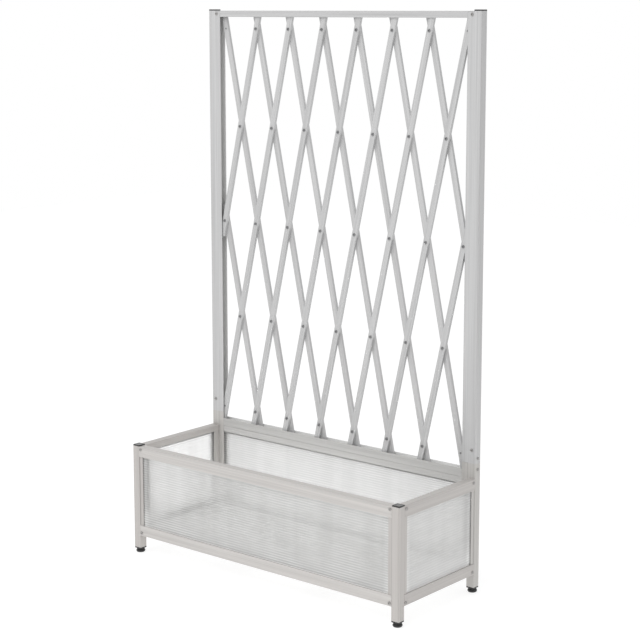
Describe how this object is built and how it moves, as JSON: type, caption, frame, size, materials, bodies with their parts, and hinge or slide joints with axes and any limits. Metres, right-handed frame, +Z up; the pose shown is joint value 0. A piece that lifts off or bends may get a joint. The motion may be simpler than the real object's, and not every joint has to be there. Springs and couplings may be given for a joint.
{
  "type": "planter with trellis",
  "caption": "Rectangular floor planter of coated metal rails with clear twin-wall sides and levelling feet, its rear posts carrying a tall diagonal slat trellis.",
  "frame": {"origin": "on the ground, under the middle of the trough", "axes": "+X to the right seen from the front, +Y to the back where the trellis stands, +Z up"},
  "size_m": [0.8044, 0.3044, 1.3],
  "materials": {
    "coated_metal": "satin coated, drawn lengthways",
    "clear_sheet": "clear fluted sheet",
    "floor_sheet": "matt sheet",
    "black_plastic": "moulded, satin",
    "screw_steel": "dull grey"
  },
  "bodies": {
    "frame": {"back_slat_1": "coated_metal", "back_slat_2": "coated_metal", "back_slat_3": "coated_metal", "back_slat_4": "coated_metal", "back_slat_5": "coated_metal", "back_slat_6": "coated_metal", "back_slat_7": "coated_metal", "back_slat_8": "coated_metal", "floor_bar_screws": "screw_steel", "floor_panel": "floor_sheet", "foot_inserts": "black_plastic", "front_bottom_rail": "coated_metal", "front_left_cap": "black_plastic", "front_left_post": "coated_metal", "front_panel": "clear_sheet", "front_right_cap": "black_plastic", "front_right_post": "coated_metal", "front_slat_1": "coated_metal", "front_slat_2": "coated_metal", "front_slat_3": "coated_metal", "front_slat_4": "coated_metal", "front_slat_5": "coated_metal", "front_slat_6": "coated_metal", "front_slat_7": "coated_metal", "front_slat_8": "coated_metal", "front_top_rail": "coated_metal", "lattice_bolts": "screw_steel", "lattice_nuts": "screw_steel", "left_bottom_rail": "coated_metal", "left_floor_bar": "coated_metal", "left_panel": "clear_sheet", "left_splice_bar": "coated_metal", "left_top_rail": "coated_metal", "rail_screws": "screw_steel", "rear_bottom_rail": "coated_metal", "rear_left_cap": "black_plastic", "rear_left_post": "coated_metal", "rear_panel": "clear_sheet", "rear_right_cap": "black_plastic", "rear_right_post": "coated_metal", "rear_top_rail": "coated_metal", "right_bottom_rail": "coated_metal", "right_floor_bar": "coated_metal", "right_panel": "clear_sheet", "right_splice_bar": "coated_metal", "right_top_rail": "coated_metal", "splice_screws": "screw_steel", "trellis_bottom_rail": "coated_metal", "trellis_left_post": "coated_metal", "trellis_right_post": "coated_metal", "trellis_top_rail": "coated_metal"},
    "front_left_foot": {"front_left_foot": "black_plastic"},
    "front_left_stud": {"front_left_stud": "screw_steel"},
    "front_right_foot": {"front_right_foot": "black_plastic"},
    "front_right_stud": {"front_right_stud": "screw_steel"},
    "rear_left_foot": {"rear_left_foot": "black_plastic"},
    "rear_left_stud": {"rear_left_stud": "screw_steel"},
    "rear_right_foot": {"rear_right_foot": "black_plastic"},
    "rear_right_stud": {"rear_right_stud": "screw_steel"}
  },
  "joints": [
    {"name": "front_left_foot_drop", "type": "slide", "parent": "frame", "child": "front_left_foot", "axis": [0, 0, -1], "range_m": [0, 0.01]},
    {"name": "front_left_stud_turn", "type": "hinge", "parent": "front_left_foot", "child": "front_left_stud", "pos_m": [-0.39, -0.14, 0.02], "axis": [0, 0, -1], "range_deg": [0, 3000]},
    {"name": "front_right_foot_drop", "type": "slide", "parent": "frame", "child": "front_right_foot", "axis": [0, 0, -1], "range_m": [0, 0.01]},
    {"name": "front_right_stud_turn", "type": "hinge", "parent": "front_right_foot", "child": "front_right_stud", "pos_m": [0.39, -0.14, 0.02], "axis": [0, 0, -1], "range_deg": [0, 3000]},
    {"name": "rear_left_foot_drop", "type": "slide", "parent": "frame", "child": "rear_left_foot", "axis": [0, 0, -1], "range_m": [0, 0.01]},
    {"name": "rear_left_stud_turn", "type": "hinge", "parent": "rear_left_foot", "child": "rear_left_stud", "pos_m": [-0.39, 0.14, 0.02], "axis": [0, 0, -1], "range_deg": [0, 3000]},
    {"name": "rear_right_foot_drop", "type": "slide", "parent": "frame", "child": "rear_right_foot", "axis": [0, 0, -1], "range_m": [0, 0.01]},
    {"name": "rear_right_stud_turn", "type": "hinge", "parent": "rear_right_foot", "child": "rear_right_stud", "pos_m": [0.39, 0.14, 0.02], "axis": [0, 0, -1], "range_deg": [0, 3000]}
  ],
  "couplings": [
    {"joint": "front_left_stud_turn", "follows": "front_left_foot_drop", "rad_per_m": 5026.5},
    {"joint": "front_right_stud_turn", "follows": "front_right_foot_drop", "rad_per_m": 5026.5},
    {"joint": "rear_left_stud_turn", "follows": "rear_left_foot_drop", "rad_per_m": 5026.5},
    {"joint": "rear_right_stud_turn", "follows": "rear_right_foot_drop", "rad_per_m": 5026.5}
  ]
}
